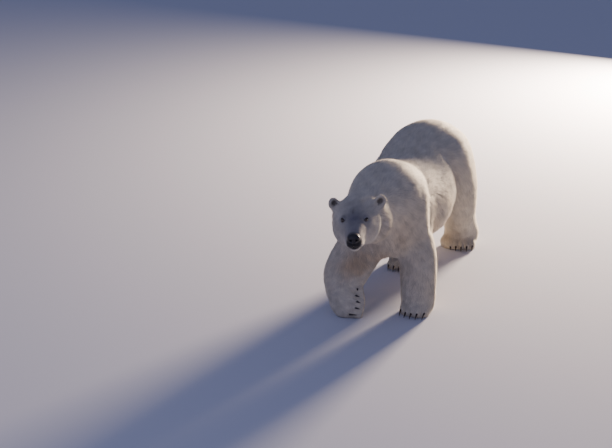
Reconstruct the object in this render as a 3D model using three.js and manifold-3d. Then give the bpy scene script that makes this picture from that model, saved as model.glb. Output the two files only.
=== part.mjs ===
// An adult polar bear that walks and looks up at whoever stands before it, as a life-size still model.
// Millimetres: x to the bear's left, y to its tail, z up, and the floor at z = 0.
//
// The bear is described as flesh: rounded lengths that melt into each other, out to the tips of the
// coat. Nets are drawn over the flesh, wide-meshed on the trunk and fine on head and paws, and thin flat
// cuts part them. Ears, nose, eyes, claws and tail are shapes of their own, let into the flesh.
import * as THREE from "three";
import { mergeVertices } from "three/addons/utils/BufferGeometryUtils.js";
import Module from "manifold-3d";

const wasm = await Module();
wasm.setup();

// Heights and places that the rest hangs from
const HUMP_TOP = 1050;
const CHEST_BOTTOM = 395;
const RUMP_TOP = 1100;
const SHOULDER = { x: -50, y: -400 }; // the fore half leans to the bear's right
const HIP = { x: -18, y: 470, out: 165 };

const GAP = 0.4; // between pieces that touch
const REACH = 3000; // a cutter's size, past anything on the bear

// ---------------------------------------------------------------------------------------------------
// Fields. Each takes a point and gives its distance from the surface, below zero inside.

function ellipsoid(u, v, w, a, b, c) {
  const near = Math.hypot(u / a, v / b, w / c);
  const slope = Math.hypot(u / (a * a), v / (b * b), w / (c * c));
  return slope < 1e-9 ? -Math.min(a, b, c) : (near * (near - 1)) / slope;
}

const lump = ([x, y, z], [a, b, c]) => (px, py, pz) => ellipsoid(px - x, py - y, pz - z, a, b, c);

// A rounded length along a smooth line of stations [x, y, z, half width, half depth]. Its section is an
// ellipse with its width along `side`, and its ends are round, or flatter with `cap` under 1.
const LINKS_PER_STATION = 5;

function flesh(stations, side = [1, 0, 0], cap = 1) {
  const line = new THREE.CatmullRomCurve3(stations.map(([x, y, z]) => new THREE.Vector3(x, y, z)));
  const sizes = new THREE.CatmullRomCurve3(stations.map(([, , , w, d]) => new THREE.Vector3(w, d, 0)));
  const count = (stations.length - 1) * LINKS_PER_STATION;
  const links = [];
  for (let i = 0; i < count; i++) {
    const from = line.getPoint(i / count);
    const along = line.getPoint((i + 1) / count).sub(from);
    const length = along.length();
    along.normalize();
    const deep = along.clone().cross(new THREE.Vector3(...side)).normalize();
    const wide = deep.clone().cross(along);
    const [a, b] = [sizes.getPoint(i / count), sizes.getPoint((i + 1) / count)];
    links.push({ from, along, length, deep, wide, a, b });
  }
  return (x, y, z) => {
    let least = Infinity;
    for (const k of links) {
      const [dx, dy, dz] = [x - k.from.x, y - k.from.y, z - k.from.z];
      const way = dx * k.along.x + dy * k.along.y + dz * k.along.z;
      const s = Math.min(Math.max(way, 0), k.length);
      const width = k.a.x + ((k.b.x - k.a.x) * s) / k.length;
      const depth = k.a.y + ((k.b.y - k.a.y) * s) / k.length;
      const u = dx * k.wide.x + dy * k.wide.y + dz * k.wide.z;
      const v = dx * k.deep.x + dy * k.deep.y + dz * k.deep.z;
      least = Math.min(least, ellipsoid(u, v, way - s, width, depth, cap * Math.min(width, depth)));
    }
    return least;
  };
}

// Two fields melted together over a width of k, and many: each later entry is [field, width].
function melt(a, b, k) {
  const h = Math.max(k - Math.abs(a - b), 0) / k;
  return Math.min(a, b) - h * h * k * 0.25;
}
function meltAll(first, ...others) {
  return (x, y, z) => others.reduce((sum, [field, k]) => melt(sum, field(x, y, z), k), first(x, y, z));
}

// A place with axes of its own: forward, left and up. field() turns a field in them into one in the
// bear's, point() a point and matrix anything.
function placeAt(origin, forward, up) {
  const f = new THREE.Vector3(...forward).normalize();
  const left = new THREE.Vector3(...up).cross(f).normalize();
  const matrix = new THREE.Matrix4().makeBasis(f, left, f.clone().cross(left)).setPosition(...origin);
  const e = matrix.clone().invert().elements;
  const field = (local) => (x, y, z) =>
    local(
      e[0] * x + e[4] * y + e[8] * z + e[12],
      e[1] * x + e[5] * y + e[9] * z + e[13],
      e[2] * x + e[6] * y + e[10] * z + e[14],
    );
  const point = (p) => new THREE.Vector3(...p).applyMatrix4(matrix).toArray();
  return { matrix, field, point };
}

// Where the way out from a point inside a field first crosses its surface.
const STRIDE = 15;

function surfaceFrom(field, from, direction) {
  const way = direction.clone().normalize();
  const at = (distance) => field(...way.clone().multiplyScalar(distance).add(from).toArray());
  let outside = STRIDE;
  while (at(outside) < 0 && outside < 20 * STRIDE) outside += STRIDE;
  let inside = outside - STRIDE;
  for (let n = 0; n < 20; n++) {
    const half = (inside + outside) / 2;
    if (at(half) < 0) inside = half;
    else outside = half;
  }
  return way.multiplyScalar(inside).add(from);
}

// ---------------------------------------------------------------------------------------------------
// Trunk, neck and tail

// A station of the trunk, told by its lowest and highest points.
const trunkAt = (x, y, low, high, halfWidth) => [x, y, (low + high) / 2, halfWidth, (high - low) / 2];

const trunkFlesh = meltAll(
  flesh([
    trunkAt(-78, -600, 560, 920, 150),
    trunkAt(-68, -500, 455, 985, 235),
    trunkAt(SHOULDER.x, SHOULDER.y, CHEST_BOTTOM + 15, HUMP_TOP - 45, 270),
    trunkAt(-50, -200, 425, 990, 292),
    trunkAt(-46, 0, 430, 982, 305),
    trunkAt(-42, 150, 440, 1010, 305),
    trunkAt(-34, 310, 475, 1062, 290),
    trunkAt(HIP.x, HIP.y, 520, RUMP_TOP, 305),
    trunkAt(0, 580, 570, 1072, 258),
    trunkAt(6, 655, 640, 990, 178),
  ]),
  [lump([SHOULDER.x, SHOULDER.y + 15, HUMP_TOP - 130], [165, 150, 115]), 70],
  [lump([-62, -480, 560], [175, 165, 150]), 110],
  [lump([-40, 40, 590], [312, 330, 200]), 120],
  [lump([-135, 225, 845], [185, 210, 160]), 60],
);

const neckFlesh = flesh([
  [-50, -420, 850, 215, 195],
  [-58, -570, 832, 205, 198],
  [-70, -690, 812, 182, 184],
  [-84, -835, 804, 190, 174],
  [-92, -950, 813, 152, 148],
]);

const tailFlesh = flesh([
  [6, 766, 905, 50, 44],
  [8, 822, 862, 48, 38],
  [8, 842, 798, 42, 34],
  [8, 832, 742, 32, 26],
]);

// ---------------------------------------------------------------------------------------------------
// Head, in axes of its own: forward along the muzzle, left and up, from the middle between the ears.
// It is turned towards the bear's left and a little up.

const HEAD_FORWARD = [0.278, -0.958, 0.076];
const headPlace = placeAt([-93, -965, 828], HEAD_FORWARD, [-0.056, 0.062, 0.997]);
const EYE = { forward: 150, out: 76, up: 40, radius: 16, sunk: 8 };
const NOSE = { forward: 320, up: -34, long: 32, wide: 42, tall: 33 };
const EAR = { forward: -4, up: 98, tall: 58, wide: 43, thick: 26, lean: 0.68 };
const EAR_OUT = { left: 154, right: 137 };
const EAR_TURN = { left: 0.3, right: -0.65 }; // outwards from straight ahead

// A station of the head, told by its lowest and highest points.
const headAt = (f, low, high, halfWidth) => [f, 0, (low + high) / 2, halfWidth, (high - low) / 2];

const headStations = [
  headAt(-100, -142, 116, 132),
  headAt(0, -144, 122, 134),
  headAt(70, -142, 106, 124),
  headAt(125, -136, 86, 107),
  headAt(175, -142, 64, 84),
  headAt(225, -150, 38, 69),
  headAt(270, -150, 16, 62),
  headAt(300, -143, 2, 54),
];
const headInPlace = meltAll(
  flesh(headStations, [0, 1, 0], 0.6),
  [lump([50, 82, -58], [95, 62, 88]), 60],
  [lump([50, -82, -58], [95, 62, 88]), 60],
  [lump([-30, 120, 34], [58, 46, 80]), 40],
  [lump([-30, -108, 34], [58, 44, 80]), 40],
);
const headFlesh = headPlace.field(headInPlace);

// ---------------------------------------------------------------------------------------------------
// Legs: a line of stations from shoulder or hip down to wrist or heel, and a paw in axes of its own,
// forward to the toes and up to its back, with its sole at 0.

const TOES = 5;
const TOE = { step: 42, curve: 6, size: [58, 29, 36], height: 29 };
const CLAW = { length: 52, radius: 10, tip: 3, bend: 0.4 };
const REACHING = { ahead: 26, above: 0, pitch: 0 }; // how the claws stand on their toes
const LAID_BACK = { ahead: -14, above: 37, pitch: 0.3 };

const toeAt = (reach, i) => {
  const off = i - (TOES - 1) / 2;
  return [reach - TOE.curve * off * off, off * TOE.step, TOE.height];
};
const toeRow = (reach) => Array.from({ length: TOES }, (_, i) => [lump(toeAt(reach, i), TOE.size), 14]);

const FORE_REACH = 88;
const HIND_REACH = 108;
const forePaw = meltAll(lump([0, 0, 46], [116, 112, 62]), ...toeRow(FORE_REACH));
const hindPaw = meltAll(
  lump([-15, 0, 46], [142, 108, 62]),
  [lump([-95, 0, 52], [72, 74, 62]), 40],
  ...toeRow(HIND_REACH),
);

const legs = {
  fore_left: {
    place: placeAt([200, -512, 0], [-0.1, -1, 0], [0, 0, 1]),
    paw: forePaw,
    reach: FORE_REACH,
    claws: REACHING,
    stations: [
      [75, -400, 850, 110, 160],
      [92, -372, 710, 130, 165],
      [106, -360, 580, 132, 152],
      [148, -385, 440, 140, 132],
      [180, -440, 290, 141, 116],
      [193, -482, 160, 134, 106],
      [198, -492, 80, 120, 98],
    ],
    melt: 70,
    root: [
      { point: [45, -400, 520], normal: [0.55, 0, -0.83] },
      { point: [-62, -400, 400], normal: [1, 0, 0] },
      { point: [200, -200, 600], normal: [0, -1, -0.1] },
    ],
    joint: [{ point: [140, -380, 450], normal: [0.1, -0.25, -1] }],
    wrist: [{ point: [195, -480, 132], normal: [0, -0.15, -1] }],
  },
  fore_right: {
    place: placeAt([-268, -692, 82], [0.99, -0.01, 0.12], [0.11, -0.92, 0.37]),
    paw: forePaw,
    reach: FORE_REACH,
    claws: LAID_BACK,
    stations: [
      [-190, -400, 850, 110, 155],
      [-212, -420, 710, 130, 165],
      [-206, -470, 560, 145, 152],
      [-234, -550, 420, 170, 140],
      [-290, -620, 300, 170, 130],
      [-320, -660, 205, 134, 118],
      [-298, -668, 160, 112, 100],
    ],
    melt: 70,
    root: [
      { point: [-165, -400, 520], normal: [-0.55, 0, -0.83] },
      { point: [-62, -400, 400], normal: [-1, 0, 0] },
      { point: [-200, -235, 600], normal: [0, -1, -0.1] },
    ],
    joint: [{ point: [-250, -520, 455], normal: [-0.15, -0.5, -1] }],
    wrist: [{ point: [-310, -650, 210], normal: [0.62, -0.3, -0.72] }],
  },
  hind_left: {
    place: placeAt([188, 800, 0], [0.14, -1, 0], [0, 0, 1]),
    paw: meltAll(hindPaw, [lump([62, -116, 42], [82, 72, 52]), 50]), // spread inwards under the weight
    reach: HIND_REACH,
    claws: REACHING,
    stations: [
      [HIP.out, 470, 860, 140, 200],
      [186, 505, 720, 152, 220],
      [200, 545, 580, 150, 190],
      [186, 615, 430, 146, 158],
      [170, 705, 290, 136, 132],
      [166, 785, 180, 138, 118],
      [174, 820, 100, 134, 110],
    ],
    melt: 80,
    root: [
      { point: [110, 500, 640], normal: [0.5, 0.1, -0.86] },
      { point: [-14, 500, 500], normal: [1, 0.25, 0] },
      { point: [200, 345, 600], normal: [0, 0.9, -0.43] },
    ],
    joint: [{ point: [188, 600, 460], normal: [-0.1, 0.5, -1] }],
    wrist: [{ point: [165, 800, 140], normal: [0, 0.2, -1] }],
  },
  hind_right: {
    place: placeAt([-150, 262, 0], [0.1, -1, 0], [0, 0, 1]),
    paw: hindPaw,
    reach: HIND_REACH,
    claws: REACHING,
    stations: [
      [-HIP.out, 460, 860, 140, 200],
      [-190, 450, 720, 152, 212],
      [-205, 420, 580, 148, 178],
      [-195, 385, 430, 138, 148],
      [-172, 350, 290, 128, 126],
      [-158, 320, 180, 122, 114],
      [-152, 295, 100, 116, 106],
    ],
    melt: 80,
    root: [
      { point: [-136, 500, 640], normal: [-0.5, 0.1, -0.86] },
      { point: [-14, 500, 500], normal: [-1, -0.25, 0] },
      { point: [-200, 300, 560], normal: [0, 0.8, -0.6] },
    ],
    joint: [{ point: [-195, 390, 450], normal: [0.1, -0.15, -1] }],
    wrist: [{ point: [-155, 320, 140], normal: [0, -0.2, -1] }],
  },
};
for (const leg of Object.values(legs)) {
  leg.field = meltAll(flesh(leg.stations), [leg.place.field(leg.paw), 45]);
}

const bearFlesh = meltAll(
  trunkFlesh,
  [neckFlesh, 110],
  [headFlesh, 55],
  ...Object.values(legs).map((leg) => [leg.field, leg.melt]),
);

// A claw: a bent horn with a blunt tip, root at the origin, pointing forward and down.
function clawGeometry() {
  const horn = new THREE.CylinderGeometry(CLAW.tip, CLAW.radius, CLAW.length, 5, 2);
  horn.rotateZ(-Math.PI / 2).translate(CLAW.length / 2, 0, 0);
  const points = horn.getAttribute("position");
  for (let i = 0; i < points.count; i++) {
    const share = points.getX(i) / CLAW.length;
    points.setZ(i, points.getZ(i) - CLAW.bend * CLAW.length * share * share);
  }
  return horn;
}

// ---------------------------------------------------------------------------------------------------
// Nets: one point in each cell that the surface crosses, drawn onto the surface, and a four-sided face
// round each grid line that crosses it

const FAR_OUTSIDE = 400;
const JUST_INSIDE = -0.5;

function steps(from, to, step) {
  const count = Math.ceil((to - from) / step);
  return Array.from({ length: count + 1 }, (_, i) => from + ((to - from) * i) / count);
}

// The net over a field in a box, [low x, high x, low y, high y, low z, high z].
function netOver(field, [x0, x1, y0, y1, z0, z1], step) {
  const grid = [steps(x0, x1, step), steps(y0, y1, step), steps(z0, z1, step)];
  const size = grid.map((lines) => lines.length);
  const strides = [1, size[0], size[0] * size[1]];
  const values = new Float64Array(size[0] * size[1] * size[2]);
  const last = size.map((n) => n - 1);
  const indexOf = (cell) => cell[0] + cell[1] * strides[1] + cell[2] * strides[2];
  const cells = (visit) => {
    for (let k = 0; k < size[2]; k++)
      for (let j = 0; j < size[1]; j++) for (let i = 0; i < size[0]; i++) visit([i, j, k]);
  };
  const at = (cell) => cell.map((n, axis) => grid[axis][n]);
  cells((cell) => {
    const rim = cell.some((n, axis) => n === 0 || n === last[axis]);
    values[indexOf(cell)] = rim ? FAR_OUTSIDE : field(...at(cell));
  });

  // Where flesh on a cell's side meets only corner to corner, the nearer empty corner is filled.
  cells((cell) => {
    for (let axis = 0; axis < 3; axis++) {
      const [s, t] = [(axis + 1) % 3, (axis + 2) % 3];
      if (cell[s] === last[s] || cell[t] === last[t]) continue;
      const here = indexOf(cell);
      const corners = [here, here + strides[s], here + strides[t], here + strides[s] + strides[t]];
      const [a, b, c, d] = corners.map((corner) => values[corner] < 0);
      if (a !== d || b !== c || a === b) continue;
      const [p, q] = a ? [corners[1], corners[2]] : [corners[0], corners[3]];
      values[values[p] < values[q] ? p : q] = JUST_INSIDE;
    }
  });

  const points = [];
  const pointOf = new Map();
  cells((cell) => {
    if (cell.some((n, axis) => n === last[axis])) return;
    const sum = [0, 0, 0];
    let crossings = 0;
    for (let edge = 0; edge < 12; edge++) {
      const axis = edge >> 2;
      const start = [...cell];
      start[(axis + 1) % 3] += edge & 1;
      start[(axis + 2) % 3] += (edge >> 1) & 1;
      const a = values[indexOf(start)];
      const b = values[indexOf(start) + strides[axis]];
      if (a < 0 === b < 0) continue;
      const p = at(start);
      p[axis] += ((grid[axis][start[axis] + 1] - p[axis]) * a) / (a - b);
      p.forEach((value, m) => (sum[m] += value));
      crossings++;
    }
    if (!crossings) return;
    pointOf.set(indexOf(cell), points.length);
    const middle = sum.map((value) => value / crossings);
    points.push(drawnOnto(field, middle, at(cell), at(cell.map((n) => n + 1))));
  });

  const faces = [];
  cells((cell) => {
    for (let axis = 0; axis < 3; axis++) {
      const [s, t] = [(axis + 1) % 3, (axis + 2) % 3];
      if (cell[axis] === last[axis] || cell[s] === 0 || cell[t] === 0) continue;
      const here = indexOf(cell);
      const inside = values[here] < 0;
      if (inside === values[here + strides[axis]] < 0) continue;
      const ring = [here - strides[s] - strides[t], here - strides[t], here, here - strides[s]];
      const [a, b, c, d] = (inside ? ring : ring.reverse()).map((index) => pointOf.get(index));
      const apart = (p, q) => Math.hypot(...points[p].map((value, m) => value - points[q][m]));
      faces.push(...(apart(a, c) < apart(b, d) ? [a, b, c, a, c, d] : [a, b, d, b, c, d]));
    }
  });
  const geometry = new THREE.BufferGeometry();
  geometry.setAttribute("position", new THREE.Float32BufferAttribute(points.flat(), 3));
  geometry.setIndex(faces);
  return geometry;
}

// How fast a field rises along x, y and z.
const slopeOf = (field, p) => {
  const here = field(...p);
  return p.map((_, m) => field(...p.map((value, k) => value + (k === m ? 1 : 0))) - here);
};

// Newton steps towards the surface, kept inside the cell.
function drawnOnto(field, point, low, high) {
  let p = point;
  for (let n = 0; n < 3; n++) {
    const distance = field(...p);
    if (Math.abs(distance) > high[0] - low[0]) return p;
    const slope = slopeOf(field, p);
    const steep = slope[0] ** 2 + slope[1] ** 2 + slope[2] ** 2 || 1;
    p = p.map((value, m) => Math.min(Math.max(value - (distance * slope[m]) / steep, low[m]), high[m]));
  }
  return p;
}

// A net moved outwards by the gap, to cut what is let into it.
function swollen(net, field) {
  const points = net.getAttribute("position").clone();
  for (let i = 0; i < points.count; i++) {
    const p = new THREE.Vector3().fromBufferAttribute(points, i);
    const outwards = new THREE.Vector3(...slopeOf(field, p.toArray())).setLength(GAP);
    points.setXYZ(i, ...p.add(outwards));
  }
  return new THREE.BufferGeometry().setAttribute("position", points).setIndex(net.index);
}

// Rings round a line of centres, drawn out to a field's surface, with a flat start and a round end.
const END_TILTS = [0.45, 0.9, 1.25];

function ringsOver(field, centres, side, segments) {
  const rings = centres.map((centre, i) => ({ centre, tilt: 0, next: centres[i + 1] }));
  const end = centres[centres.length - 1];
  const along = end.clone().sub(centres[centres.length - 2]).normalize();
  rings.push(...END_TILTS.map((tilt) => ({ centre: end, tilt })));
  const points = [centres[0]];
  for (const ring of rings) {
    const ahead = ring.next ? ring.next.clone().sub(ring.centre).normalize() : along;
    const deep = ahead.clone().cross(side).normalize();
    const wide = deep.clone().cross(ahead);
    for (let i = 0; i < segments; i++) {
      const turn = (2 * Math.PI * i) / segments;
      const out = wide.clone().multiplyScalar(Math.cos(turn)).addScaledVector(deep, Math.sin(turn));
      out.multiplyScalar(Math.cos(ring.tilt)).addScaledVector(ahead, Math.sin(ring.tilt));
      points.push(surfaceFrom(field, ring.centre, out));
    }
  }
  points.push(surfaceFrom(field, end, along));

  const faces = [];
  for (let i = 0; i < segments; i++) {
    const j = (i + 1) % segments;
    const last = 1 + (rings.length - 1) * segments;
    faces.push(0, 1 + j, 1 + i, points.length - 1, last + i, last + j);
    for (let r = 0; r < rings.length - 1; r++) {
      const [near, far] = [1 + r * segments, 1 + (r + 1) * segments];
      faces.push(near + i, far + j, far + i, near + i, near + j, far + j);
    }
  }
  const geometry = new THREE.BufferGeometry().setFromPoints(points);
  geometry.setIndex(faces);
  return geometry;
}

// ---------------------------------------------------------------------------------------------------
// Solids and cutters

function solidOf(geometry, matrix = new THREE.Matrix4()) {
  const bare = new THREE.BufferGeometry();
  bare.setAttribute("position", geometry.getAttribute("position").clone());
  if (geometry.index) bare.setIndex(geometry.index);
  const merged = mergeVertices(bare.applyMatrix4(matrix), 1e-3);
  return new wasm.Manifold(
    new wasm.Mesh({
      numProp: 3,
      vertProperties: merged.attributes.position.array,
      triVerts: new Uint32Array(merged.index.array),
    }),
  );
}

// All that lies past a flat cut through a point, the way a normal looks, less half the gap.
function past(point, normal) {
  const n = new THREE.Vector3(...normal).normalize();
  const turn = new THREE.Quaternion().setFromUnitVectors(new THREE.Vector3(0, 0, 1), n);
  const centre = new THREE.Vector3(...point).addScaledVector(n, REACH / 2 + GAP / 2);
  const matrix = new THREE.Matrix4().compose(centre, turn, new THREE.Vector3(1, 1, 1));
  return solidOf(new THREE.BoxGeometry(REACH, REACH, REACH), matrix);
}
// The same on the cut's other side.
const short = (point, normal) => past(point, normal.map((value) => -value));

const floorBlock = new THREE.BoxGeometry(REACH, REACH, REACH).translate(0, 0, REACH / 2);
const aboveFloor = solidOf(floorBlock);

const bear = new THREE.Group();
bear.name = "polar_bear";
const coat = new THREE.MeshStandardMaterial({ color: 0xe9dcc0, roughness: 0.95, metalness: 0 });
const noseLeather = new THREE.MeshStandardMaterial({ color: 0x15120f, roughness: 0.45, metalness: 0 });
const eyeball = new THREE.MeshStandardMaterial({ color: 0x140c07, roughness: 0.08, metalness: 0 });
const claw = new THREE.MeshStandardMaterial({ color: 0x1e1a16, roughness: 0.4, metalness: 0 });

function addPiece(name, solid, material) {
  const { vertProperties, triVerts } = solid.getMesh();
  const geometry = new THREE.BufferGeometry();
  geometry.setAttribute("position", new THREE.BufferAttribute(new Float32Array(vertProperties), 3));
  geometry.setIndex(new THREE.BufferAttribute(new Uint32Array(triVerts), 1));
  geometry.computeVertexNormals();
  geometry.computeBoundingBox();
  const mesh = new THREE.Mesh(geometry, material);
  mesh.name = name;
  geometry.boundingBox.getCenter(mesh.position).round();
  geometry.translate(-mesh.position.x, -mesh.position.y, -mesh.position.z);
  bear.add(mesh);
}

// ---------------------------------------------------------------------------------------------------
// The flesh in its pieces. A limb's share lies past all its cuts, and the trunk keeps the rest.

const MESH = { trunk: 78, neck: 62, leg: 69, paw: 36, tail: 38, ear: 20, nose: 16 };
const HEAD_RINGS = { count: 15, segments: 22 };
const NECK_CUT = { point: [-62, -600, 850], normal: [-0.1, -0.93, 0.35] };
const HEAD_CUT = { point: headPlace.point([-62, 0, 0]), normal: HEAD_FORWARD };

const pastAll = (cuts) => cuts.map((cut) => past(cut.point, cut.normal)).reduce((a, b) => a.intersect(b));
const notPast = (cuts) => cuts.map((cut) => short(cut.point, cut.normal)).reduce((a, b) => a.add(b));

// A box round a point.
const boxRound = ([x, y, z], [a, b, c]) => [x - a, x + a, y - b, y + b, z - c, z + c];

const trunkNet = netOver(bearFlesh, [-520, 480, -880, 960, 180, 1220], MESH.trunk);
let trunk = solidOf(trunkNet).intersect(notPast([NECK_CUT]));
for (const leg of Object.values(legs)) trunk = trunk.intersect(notPast(leg.root));
addPiece("trunk", trunk, coat);

const neck = solidOf(netOver(bearFlesh, [-420, 300, -1240, -420, 440, 1180], MESH.neck))
  .intersect(pastAll([NECK_CUT]))
  .intersect(notPast([HEAD_CUT]));
addPiece("neck", neck, coat);

const tail = solidOf(netOver(tailFlesh, [-90, 110, 690, 950, 680, 1000], MESH.tail));
addPiece("tail", tail.subtract(solidOf(swollen(trunkNet, bearFlesh))), coat);

for (const [name, leg] of Object.entries(legs)) {
  const [footX, footY] = leg.stations[leg.stations.length - 1];
  const legNet = netOver(bearFlesh, boxRound([footX, footY, 420], [420, 560, 480]), MESH.leg);
  const limb = solidOf(legNet).intersect(aboveFloor).intersect(pastAll(leg.root));
  addPiece(`${name}_upper`, limb.intersect(notPast(leg.joint)), coat);
  addPiece(`${name}_lower`, limb.intersect(pastAll(leg.joint)).intersect(notPast(leg.wrist)), coat);

  const pawBox = boxRound(leg.place.point([0, 0, 90]), [300, 300, 300]);
  const pawNet = netOver(bearFlesh, pawBox, MESH.paw);
  const paw = solidOf(pawNet).intersect(aboveFloor).intersect(pastAll([...leg.root, ...leg.wrist]));
  addPiece(`${name}_paw`, paw, coat);

  const pawCutter = solidOf(swollen(pawNet, bearFlesh));
  for (let i = 0; i < TOES; i++) {
    const [forward, left, up] = toeAt(leg.reach, i);
    const { ahead, above, pitch } = leg.claws;
    const horn = clawGeometry().rotateY(-pitch).translate(forward + ahead, left, up + above);
    const solid = solidOf(horn, leg.place.matrix).subtract(pawCutter).intersect(aboveFloor);
    addPiece(`${name}_claw_${i + 1}`, solid, claw);
  }
}

// ---------------------------------------------------------------------------------------------------
// Head with its ears, eyes and nose

const headLine = new THREE.CatmullRomCurve3(
  headStations.map(([f, l, u]) => new THREE.Vector3(f, l, u).applyMatrix4(headPlace.matrix)),
);
const headLeft = new THREE.Vector3().setFromMatrixColumn(headPlace.matrix, 1);
const headCentres = headLine.getPoints(HEAD_RINGS.count);
const headNet = ringsOver(bearFlesh, headCentres, headLeft, HEAD_RINGS.segments);
let head = solidOf(headNet).intersect(pastAll([HEAD_CUT]));
const headCutter = solidOf(swollen(headNet, bearFlesh));

for (const [side, out] of [["left", 1], ["right", -1]]) {
  const axis = ([f, l, u]) => new THREE.Vector3(f, l, u).transformDirection(headPlace.matrix).toArray();
  const place = placeAt(
    headPlace.point([EAR.forward, out * EAR_OUT[side], EAR.up]),
    axis([Math.cos(EAR_TURN[side]), out * Math.sin(EAR_TURN[side]), 0]),
    axis([0, out * Math.sin(EAR.lean), Math.cos(EAR.lean)]),
  );
  const rim = lump([0, 0, 0], [EAR.thick, EAR.wide, EAR.tall]);
  const cup = lump([EAR.thick, 0, 2], [EAR.thick, EAR.wide * 0.66, EAR.tall * 0.68]);
  const ear = place.field((f, l, u) => -melt(-rim(f, l, u), cup(f, l, u), 8));
  const net = netOver(ear, boxRound(place.point([0, 0, 0]), [80, 80, 80]), MESH.ear);
  addPiece(`ear_${side}`, solidOf(net).subtract(headCutter), coat);

  const outward = new THREE.Vector3(0, out * EYE.out, EYE.up);
  const lid = surfaceFrom(headInPlace, new THREE.Vector3(EYE.forward, 0, 0), outward);
  const centre = headPlace.point(lid.sub(outward.setLength(EYE.sunk)).toArray());
  const ball = (radius) => solidOf(new THREE.SphereGeometry(radius, 9, 6).translate(...centre));
  addPiece(`eye_${side}`, ball(EYE.radius), eyeball);
  head = head.subtract(ball(EYE.radius + GAP));
}

const noseCentre = [NOSE.forward, 0, NOSE.up];
const noseShape = headPlace.field(lump(noseCentre, [NOSE.long, NOSE.wide, NOSE.tall]));
const noseNet = netOver(noseShape, boxRound(headPlace.point(noseCentre), [60, 60, 60]), MESH.nose);
addPiece("nose", solidOf(noseNet), noseLeather);
head = head.subtract(solidOf(swollen(noseNet, noseShape)));
addPiece("head", head, coat);

// The bear stands with the middle of its outline over the origin.
const middle = new THREE.Box3().setFromObject(bear).getCenter(new THREE.Vector3());
bear.position.set(-middle.x, -middle.y, 0);

export default bear;
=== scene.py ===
import math
import bmesh
import bpy
import numpy as np
from mathutils import Euler, Matrix, Vector
from mathutils.bvhtree import BVHTree


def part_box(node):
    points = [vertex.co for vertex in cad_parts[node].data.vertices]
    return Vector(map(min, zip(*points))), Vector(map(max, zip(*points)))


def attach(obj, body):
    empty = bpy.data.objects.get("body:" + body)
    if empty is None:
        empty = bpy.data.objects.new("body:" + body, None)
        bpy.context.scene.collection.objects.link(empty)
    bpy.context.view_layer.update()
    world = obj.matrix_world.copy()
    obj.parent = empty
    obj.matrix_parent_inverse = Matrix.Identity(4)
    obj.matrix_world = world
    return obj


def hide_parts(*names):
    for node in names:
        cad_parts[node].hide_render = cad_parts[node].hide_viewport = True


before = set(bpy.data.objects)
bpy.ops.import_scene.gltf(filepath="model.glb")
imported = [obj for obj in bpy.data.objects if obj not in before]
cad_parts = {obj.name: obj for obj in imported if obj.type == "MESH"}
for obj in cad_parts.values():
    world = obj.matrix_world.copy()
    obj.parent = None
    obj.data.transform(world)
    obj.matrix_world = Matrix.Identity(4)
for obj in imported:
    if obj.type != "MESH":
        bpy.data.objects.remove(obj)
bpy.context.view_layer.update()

# ---------------------------------------------------------------------------------------------------
# The viewpoint: someone on a rise nine metres off, ahead of the bear and a little to its left, who
# looks down on its back and keeps it right of the middle of the view.
AZIMUTH, ELEVATION = math.radians(17.1), math.radians(21.1)
PAN, TILT = math.radians(4.48), math.radians(-0.18)
LOOKED_AT = Vector((0.057, -0.033, 0.55))
DISTANCE = 9.0
FOCAL_LENGTH = 73.5

camera = bpy.data.objects.new("camera", bpy.data.cameras.new("camera"))
camera.data.lens = FOCAL_LENGTH
camera.data.clip_end = 100
facing = Euler((math.pi / 2 - ELEVATION, 0, AZIMUTH)).to_matrix().to_4x4()
camera.matrix_world = (
    Matrix.Translation(LOOKED_AT)
    @ facing
    @ Matrix.Translation((0, 0, DISTANCE))
    @ Matrix.Rotation(PAN, 4, "Y")
    @ Matrix.Rotation(TILT, 4, "X")
)
bpy.context.collection.objects.link(camera)
bpy.context.scene.camera = camera

# ---------------------------------------------------------------------------------------------------
# The hide: one skin over the whole bear without a seam. It follows the outline of the body, drawn in
# by the depth of the coat that stands on it: two millimetres on the muzzle, about twenty on the back.
LIMBS = ["fore_left", "fore_right", "hind_left", "hind_right"]
FLESH = ["trunk", "neck", "head", "tail", "ear_left", "ear_right"]
FLESH += [f"{limb}_{part}" for limb in LIMBS for part in ("upper", "lower", "paw")]
MM = 0.001
VOXEL = 6 * MM
OVERLAP = 1 * MM  # how far the body's solids are let into each other before they become one

# For each part: how much it is eased round, and the coat's depth, length, width and spacing in mm.
PARTS = {
    "trunk": (1.0, 17, 64, 5.0, 4.4),
    "neck": (1.0, 17, 62, 4.9, 4.3),
    "upper": (1.0, 16, 58, 4.9, 4.4),
    "lower": (0.8, 13, 48, 4.5, 4.1),
    "paw": (0.3, 8, 27, 3.6, 3.4),
    "tail": (0.5, 12, 46, 4.5, 4.1),
    "head": (0.5, 10, 32, 3.8, 3.4),
    "ear": (0.04, 6, 20, 3.0, 2.8),
}
EASING_PASSES = 110


def part_of(node):
    """The kind of part that a node of the body is."""
    return next(kind for kind in PARTS if kind in node.split("_"))


def middle(node):
    """The middle of a node's box."""
    low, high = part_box(node)
    return (low + high) / 2


def sewn_copy(node):
    """A node's solid as a bmesh of its own, its loose triangles sewn together."""
    made = bmesh.new()
    made.from_mesh(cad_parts[node].data)
    bmesh.ops.remove_doubles(made, verts=made.verts, dist=1e-6)
    made.normal_update()
    return made


body = bmesh.new()
face_node = []
for node in FLESH + ["eye_left", "eye_right", "nose"]:
    solid = sewn_copy(node)
    for vertex in solid.verts:
        vertex.co += vertex.normal * OVERLAP
    face_node += [FLESH.index(node if node in FLESH else "head")] * len(solid.faces)
    loose = bpy.data.meshes.new(node)
    solid.to_mesh(loose)
    solid.free()
    body.from_mesh(loose)
    bpy.data.meshes.remove(loose)
face_node = np.array(face_node)
body_surface = BVHTree.FromBMesh(body)
KIND_OF = np.array([list(PARTS).index(part_of(node)) for node in FLESH])


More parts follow.
